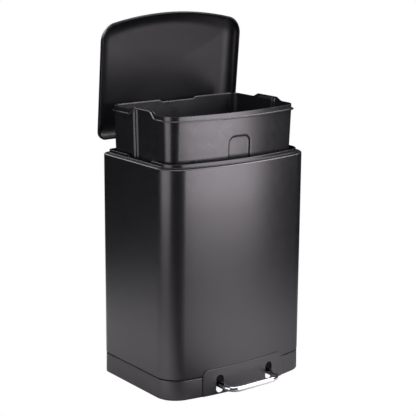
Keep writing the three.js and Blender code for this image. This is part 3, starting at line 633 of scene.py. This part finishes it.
def dish_rings(depth, rim, round_steps=12, dome_steps=10):
    """Rings from the rim, over the round edge, to the middle of the lid, at a depth below its outside."""
    levels = [(LID["inset"] + depth, z) for z in (rim, (rim + LID["wall"]) / 2, LID["wall"])]
    for i in range(1, round_steps + 1):
        angle = math.pi / 2 * i / round_steps
        levels.append((LID["inset"] + depth + (LID["round_width"] - depth) * (1 - math.cos(angle)),
                       LID["wall"] + (LID["round_height"] - depth) * math.sin(angle)))
    rings = [ring_at(LID_PLAN, inset, z) for inset, z in levels]
    centre_y = -BODY.bow / 2
    edge = rings[-1]
    for i in range(1, dome_steps + 1):
        scale = 1 - DOME_REACH * i / dome_steps
        rings.append([(x * scale, centre_y + (y - centre_y) * scale, z + LID["crown"] * (1 - scale ** 2))
                      for x, y, z in edge])
    return rings


def rim_rings(depth, thickness, rim, drop, steps):
    """Rings of a rounded rim that joins the outside of a skin to its inside."""
    return [ring_at(LID_PLAN, LID["inset"] + depth + thickness * t, rim - drop * math.sin(math.pi * t))
            for t in steps]


def make_lid():
    """The lid's painted skin, and the plastic lining that shows when it is open."""
    hem = rim_rings(0, LID_SKIN, SKIN_EDGE, 0.4, (0.2, 0.5, 0.8))
    outside = dish_rings(0, SKIN_EDGE)
    inside = dish_rings(LID_SKIN, SKIN_EDGE)
    skin = loft("lid_skin", outside[::-1] + hem + inside, black_coat, closed=False, place=opened)
    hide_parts("lid_shell")
    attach(skin, "lid")

    hem = rim_rings(LINER_DEPTH, LINER_WALL, LINER_EDGE, 0.8, (0.12, 0.3, 0.5, 0.7, 0.88))
    outside = dish_rings(LINER_DEPTH, LINER_EDGE)
    inside = dish_rings(LINER_DEPTH + LINER_WALL, LINER_EDGE)
    liner = loft("lid_lining", outside[::-1] + hem + inside, liner_plastic, closed=False, place=opened)
    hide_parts("lid_liner")
    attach(liner, "lid")


# ---------------------------------------------------------------- inner bucket, with its flange at z = 0

BUCKET = Plan((bucket_high.x - bucket_low.x) / MM, 223.2, 22.0, 35.5, 25.0)
BUCKET_X = (bucket_low.x + bucket_high.x) / 2 / MM
BUCKET_Y = bucket_high.y / MM - OFFSET_Y - BUCKET.rear
RIM = 11.0
EAR_RIM_RISE = 7.5
EAR_FLANGE_RISE = 14.5
BUCKET_Z = bucket_high.z / MM - RIM - EAR_RIM_RISE
BUCKET_HEIGHT = BUCKET_Z - bucket_low.z / MM
LIP = 4.8
WALL = 2.0
DRAFT = 14.4
FLOOR_RADIUS = 12.0
SIDE_REACH = 45.0
EAR_REAR = (37.0, 17.0)
EAR_FRONT = (-64.0, -43.0)
CHANNEL_MIDDLE = -10.2
CHANNEL_STEPS = ((32.0, 29.0, 2.5), (24.8, 21.8, 2.5))
NOTCH = {"left": -34.0, "left_slope": 9.0, "right": 52.0, "right_slope": 3.0, "depth": 4.5}
PANEL = {"half": 27.6, "top": -40.5, "radius": 15.0, "depth": 3.2, "soft": 5.0, "steep": 1.8}
PANEL_REACH = PANEL["half"] + PANEL["soft"]
SHAPED_DOWN_TO = -64.0
RIM_EDGE = ((0, -3), (0, -0.8), (0.25, -0.2), (0.8, 0), (1.2, 0), (1.75, -0.2), (2.0, -0.8), (2.0, -3))


def on_side(x):
    """Whether a point is near the bucket's left or right side."""
    return abs(x) > BUCKET.half - SIDE_REACH


def ear(x, y):
    """How much of the raised ear there is at a point of the edge, from 0 to 1."""
    if not on_side(x):
        return 0.0
    return smooth_step(y, *EAR_REAR) * smooth_step(y, *EAR_FRONT)


def channel(x, y):
    """Depth of the two-step upright channel in the middle of each side."""
    if not on_side(x):
        return 0.0
    away = abs(y - CHANNEL_MIDDLE)
    return sum(depth * smooth_step(away, start, end) for start, end, depth in CHANNEL_STEPS)


def notch(x, y):
    """How far the rear rim is cut down."""
    if y < BUCKET.rear - 40:
        return 0.0
    left = smooth_step(x, NOTCH["left"] - NOTCH["left_slope"], NOTCH["left"])
    right = smooth_step(x, NOTCH["right"] + NOTCH["right_slope"], NOTCH["right"])
    return NOTCH["depth"] * left * right


def panel(x, y, z):
    """Depth of the sunken panel with a round top that runs down the front wall."""
    if y > -BUCKET.rear + 20 or abs(x) > PANEL_REACH:
        return 0.0
    across = abs(x) - (PANEL["half"] - PANEL["radius"])
    above = z - (PANEL["top"] - PANEL["radius"])
    outside = math.hypot(max(across, 0), max(above, 0)) + min(max(across, above), 0) - PANEL["radius"]
    steep = smooth_step(outside, PANEL["steep"], -PANEL["steep"])
    gentle = smooth_step(outside, PANEL["soft"], -PANEL["soft"])
    return PANEL["depth"] * (0.85 * steep + 0.15 * gentle)


def bucket_ring(inset, z, flange=0.0, rim=0.0, shaped=0.0, grooved=0.0):
    """One level of the bucket.

    flange and rim say how much of the ears' two heights it follows, shaped how much of the side channels,
    and grooved how much of the front panel.
    """
    steps = [CHANNEL_MIDDLE + sign * away for start, end, _ in CHANNEL_STEPS for sign in (-1, 1)
             for away in (start + 0.6, start, (start + end) / 2, end, end - 0.6)]
    side_ys = sorted(set(steps + spaced(-74, 86, 4)))
    rear_xs = spaced(-146, 146, 3)
    reach = PANEL_REACH + 1
    front_xs = spaced(-134, -reach, 7) + spaced(-reach - 1, reach + 1, 0.8) + spaced(reach, 134, 7)
    ring = []
    for x, y in outline(BUCKET, inset, side_ys=side_ys, rear_xs=rear_xs, front_xs=front_xs,
                        front_steps=16, rear_steps=12):
        rise = flange * EAR_FLANGE_RISE + rim * EAR_RIM_RISE
        height = z + rise * ear(x, y) - rim * notch(x, y)
        inward = shaped * channel(x, y)
        dent = grooved * panel(x, y, z)
        ring.append((BUCKET_X + x - math.copysign(inward, x), BUCKET_Y + y + dent, BUCKET_Z + height))
    return ring


def wall_inset(z):
    """How far the tapered outer wall is inside the flange's edge."""
    return LIP + DRAFT * -z / BUCKET_HEIGHT


def wall_rings(levels, depth):
    """Rings of a wall, at a depth below its outside."""
    return [bucket_ring(wall_inset(z) + depth, z, flange=smooth_step(z, -60, -2), shaped=1, grooved=1)
            for z in levels]


def floor_rings(radius, inset, bottom):
    """Rings of the round turn from a wall into the floor."""
    angles = [math.radians(a) for a in (0, 22, 45, 67, 88)]
    return [bucket_ring(inset + radius * (1 - math.cos(a)), bottom + radius * (1 - math.sin(a)),
                        shaped=math.cos(a)) for a in angles]


def make_bucket():
    """The lift-out bucket: floor, tapered walls, an outer flange and a rim that stands above it."""
    low = -BUCKET_HEIGHT
    levels = [-3.0, -8.0, -14.0, -22.0, -29.0]
    levels += spaced(SHAPED_DOWN_TO, -31, 0.9)[::-1]
    levels += [SHAPED_DOWN_TO, -75.0, -100.0, -150.0]
    outer_floor = floor_rings(FLOOR_RADIUS, LIP + DRAFT, low)
    inner_floor = floor_rings(FLOOR_RADIUS - WALL, LIP + WALL + DRAFT, low + WALL)
    flange = [bucket_ring(inset, z, flange=1) for inset, z in
              ((LIP, -1.6), (LIP - 0.4, -1.1), (0.6, -1.0), (0.15, -0.7), (0, 0), (0.15, 0.7), (0.6, 1.0),
               (LIP - 0.4, 1.05), (LIP, 1.5))]
    edge = [bucket_ring(LIP + inset, RIM + z, rim=1) for inset, z in RIM_EDGE]
    inside_top = [bucket_ring(LIP + WALL, 1.5, flange=1)]
    outside = outer_floor[::-1] + wall_rings(levels, 0)[::-1] + flange
    inside = inside_top + wall_rings(levels, WALL) + inner_floor
    bucket = loft("lift_out_bucket", outside + edge + inside, bucket_plastic, closed=False)
    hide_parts("inner_bucket")
    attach(bucket, "bucket")


# ---------------------------------------------------------------- small parts that keep their CAD shape

KEPT = {
    "floor_plate": dark_steel,
    "pedal_lever": zinc_steel,
    "pedal_axle": bright_steel,
    "axle_bracket_left": base_plastic,
    "axle_bracket_right": base_plastic,
    "axle_clip_left": bright_steel,
    "axle_clip_right": bright_steel,
    "push_rod": bright_steel,
    "fork_pin": bright_steel,
    "rod_guide_lower": base_plastic,
    "rod_guide_upper": base_plastic,
    "damper_cylinder": collar_plastic,
    "damper_piston": bright_steel,
    "damper_clamp": base_plastic,
    "damper_strap_lower": base_plastic,
    "damper_strap_upper": base_plastic,
    "hinge_housing": base_plastic,
    "hinge_pin": bright_steel,
    "lid_bracket": zinc_steel,
    "crank_pin": bright_steel,
}
KEPT.update({name: rubber for name in frame["nodes"] if "foot" in name or "bumper" in name})
KEPT.update({name: bright_steel for name in frame["nodes"] if "screw" in name})


def dress_kept_parts():
    """Gives each carried-over CAD part its material and softly broken edges."""
    for name, material in KEPT.items():
        piece = frame["nodes"][name]
        piece.data.materials.clear()
        piece.data.materials.append(material)
        edge = piece.modifiers.new("soft_edges", "BEVEL")
        edge.width = 0.0004
        edge.segments = 2
        edge.limit_method = "ANGLE"
        edge.angle_limit = math.radians(40)


# ---------------------------------------------------------------- studio

CAMERA = {"azimuth": -37.63, "elevation": 13.37, "distance": 2.7595, "lens": 108.03, "roll": 0.0078}
TARGET = point(7.06, -5.44, 373.36)

# Azimuth, distance, height, (width, height) of the panel, watts, and the height that it is aimed at.
LIGHTS = {
    "front_key": (23, 1.6, 0.50, (1.15, 1.1), 15.5, 0.35),
    "left_strip": (-84, 1.6, 0.55, (1.2, 1.2), 9, 0.35),
    "right_high": (60, 1.25, 1.7, (1.2, 1.0), 27, 0.35),
    "overhead": (0, 0.05, 2.4, (1.6, 1.6), 30, 0.0),
    "back_fill": (195, 1.9, 1.6, (1.6, 0.9), 18, 0.35),
}

# Metres, and the floor's colour near the bin and far from it: a painted pool of light round the bin, seen in
# what the bin reflects.
FLOOR = {"half": 12.0, "drop": 0.0005, "near": 0.86, "far": 0.03, "fade": (0.55, 1.15)}

# Azimuth, sharpness and depth of the wedges of painted shade on the floor: darker floor colour which the
# bin's front corner and the right of its front reflect.
PAINTED_SHADE_WEDGES = ((-32, 10, 0.85), (80, 5, 0.75))

# Metres: between which two places each edge of the painted shadow under the bin fades.
PAINTED_SHADOW_PATCH = {"front": (-0.105, -0.08), "rear": (0.11, 0.13), "side": (0.172, 0.186), "dark": 0.01}

ROOM = {"color": (0.9, 0.93, 1.0, 1), "strength": 0.06}


def add_camera():
    """The main camera, front left and a little above, with a slight roll."""
    azimuth, elevation = math.radians(CAMERA["azimuth"]), math.radians(CAMERA["elevation"])
    right = Vector((math.cos(azimuth), math.sin(azimuth), 0))
    back = Vector((math.sin(azimuth) * math.cos(elevation), -math.cos(azimuth) * math.cos(elevation),
                   math.sin(elevation)))
    up = back.cross(right)
    right_rolled = right + CAMERA["roll"] * up
    up_rolled = up - CAMERA["roll"] * right
    data = bpy.data.cameras.new("camera")
    data.lens = CAMERA["lens"]
    data.sensor_width = 36
    data.clip_end = 50
    camera = bpy.data.objects.new("camera", data)
    turn = Matrix((right_rolled, up_rolled, back)).transposed().to_4x4()
    camera.matrix_world = Matrix.Translation(Vector(TARGET) + CAMERA["distance"] * back) @ turn
    bpy.context.scene.collection.objects.link(camera)
    bpy.context.scene.camera = camera


def add_softbox(name, azimuth, distance, height, size, power, aim_height):
    """A rectangular soft light on a circle round the bin, aimed at it."""
    turn = math.radians(azimuth)
    place = Vector((distance * math.sin(turn), -distance * math.cos(turn), height))
    data = bpy.data.lights.new(name, "AREA")
    data.shape = "RECTANGLE"
    data.size, data.size_y = size
    data.energy = power
    light = bpy.data.objects.new(name, data)
    light.location = place
    light.rotation_mode = "QUATERNION"
    light.rotation_quaternion = (Vector((0, 0, aim_height)) - place).to_track_quat("-Z", "Y")
    bpy.context.scene.collection.objects.link(light)


def multiplied(tree, first, second):
    """The product of two values."""
    node = tree.nodes.new("ShaderNodeMath")
    node.operation = "MULTIPLY"
    tree.links.new(first, node.inputs[0])
    tree.links.new(second, node.inputs[1])
    return node.outputs["Value"]


def wedge(tree, coordinates, azimuth, sharpness, depth):
    """1 all round the bin, with a soft wedge of painted shade on the floor in one direction."""
    turn = math.radians(azimuth)
    direction = tree.nodes.new("ShaderNodeVectorMath")
    direction.operation = "NORMALIZE"
    tree.links.new(coordinates.outputs["Object"], direction.inputs[0])
    cosine = tree.nodes.new("ShaderNodeVectorMath")
    cosine.operation = "DOT_PRODUCT"
    cosine.inputs[1].default_value = (math.sin(turn), -math.cos(turn), 0)
    tree.links.new(direction.outputs["Vector"], cosine.inputs[0])
    in_front = mapped(tree, cosine.outputs["Value"], 0, 1, source=(0, 1))
    power = tree.nodes.new("ShaderNodeMath")
    power.operation = "POWER"
    power.inputs[1].default_value = sharpness
    tree.links.new(in_front, power.inputs[0])
    return mapped(tree, power.outputs["Value"], 1.0, 1.0 - depth, source=(0, 1))


def painted_shadow_under_bin(tree, coordinates):
    """Brightness of the floor to the camera: white, with a soft painted shadow under the bin."""
    parts = tree.nodes.new("ShaderNodeSeparateXYZ")
    tree.links.new(coordinates.outputs["Object"], parts.inputs["Vector"])
    across = tree.nodes.new("ShaderNodeMath")
    across.operation = "ABSOLUTE"
    tree.links.new(parts.outputs["X"], across.inputs[0])
    behind_front = mapped(tree, parts.outputs["Y"], 0, 1, source=PAINTED_SHADOW_PATCH["front"])
    before_rear = mapped(tree, parts.outputs["Y"], 1, 0, source=PAINTED_SHADOW_PATCH["rear"])
    between_sides = mapped(tree, across.outputs["Value"], 1, 0, source=PAINTED_SHADOW_PATCH["side"])
    patch = multiplied(tree, multiplied(tree, behind_front, before_rear), between_sides)
    return mapped(tree, patch, 1.0, PAINTED_SHADOW_PATCH["dark"], source=(0, 1))


def camera_only_white(tree, other_shader, strength=None):
    """White to the camera, with an optional strength; the other shader for the light that it gives back."""
    path = tree.nodes.new("ShaderNodeLightPath")
    white = tree.nodes.new("ShaderNodeEmission")
    if strength:
        tree.links.new(strength, white.inputs["Strength"])
    mix = tree.nodes.new("ShaderNodeMixShader")
    tree.links.new(path.outputs["Is Camera Ray"], mix.inputs["Fac"])
    tree.links.new(other_shader, mix.inputs[1])
    tree.links.new(white.outputs["Emission"], mix.inputs[2])
    return mix.outputs["Shader"]


def add_floor():
    """A pale floor: white to the camera with a painted shadow under the bin, and in what it reflects onto the
    bin a painted pool of light that fades with distance, with wedges of painted shade.
    """
    half = FLOOR["half"]
    mesh = bpy.data.meshes.new("floor")
    corners = [(-half, -half, 0), (half, -half, 0), (half, half, 0), (-half, half, 0)]
    mesh.from_pydata(corners, [], [(0, 1, 2, 3)])
    floor = bpy.data.objects.new("floor", mesh)
    floor.location.z = -FLOOR["drop"]
    bpy.context.scene.collection.objects.link(floor)
    material = bpy.data.materials.new("floor_white_and_painted_shade")
    material.use_nodes = True
    tree = material.node_tree
    tree.nodes.clear()
    output = tree.nodes.new("ShaderNodeOutputMaterial")
    paper = tree.nodes.new("ShaderNodeBsdfDiffuse")
    coordinates = tree.nodes.new("ShaderNodeTexCoord")
    distance = tree.nodes.new("ShaderNodeVectorMath")
    distance.operation = "LENGTH"
    tree.links.new(coordinates.outputs["Object"], distance.inputs[0])
    # Painted pool of light: the floor's colour is bright near the bin and dark away from it, as the bin
    # reflects it.
    fade = mapped(tree, distance.outputs["Value"], FLOOR["near"], FLOOR["far"], source=FLOOR["fade"])
    # Painted shade: darker wedges of floor colour for the bin to reflect.
    for azimuth, sharpness, depth in PAINTED_SHADE_WEDGES:
        fade = multiplied(tree, fade, wedge(tree, coordinates, azimuth, sharpness, depth))
    shade = mixed(tree, fade, (0, 0, 0), (1, 1, 1))
    tree.links.new(shade, paper.inputs["Color"])
    # Painted shadow: the camera's white floor goes dark under the bin, where it shows through the cover's
    # slots.
    seen = camera_only_white(tree, paper.outputs["BSDF"], painted_shadow_under_bin(tree, coordinates))
    tree.links.new(seen, output.inputs["Surface"])
    mesh.materials.append(material)


def add_world():
    """A dim, slightly cool room that is white behind the bin."""
    world = bpy.data.worlds.new("studio")
    bpy.context.scene.world = world
    world.use_nodes = True
    tree = world.node_tree
    tree.nodes.clear()
    output = tree.nodes.new("ShaderNodeOutputWorld")
    room = tree.nodes.new("ShaderNodeBackground")
    room.inputs["Color"].default_value = ROOM["color"]
    room.inputs["Strength"].default_value = ROOM["strength"]
    tree.links.new(camera_only_white(tree, room.outputs["Background"]), output.inputs["Surface"])


add_camera()
make_shell()
make_collar()
make_base()
make_pedal_cover()
make_pedal_bar()
make_lid()
make_bucket()
dress_kept_parts()
add_floor()
add_world()
for light_name, settings in LIGHTS.items():
    add_softbox(light_name, *settings)

view = bpy.context.scene.view_settings
view.view_transform = "Standard"
view.look = "None"
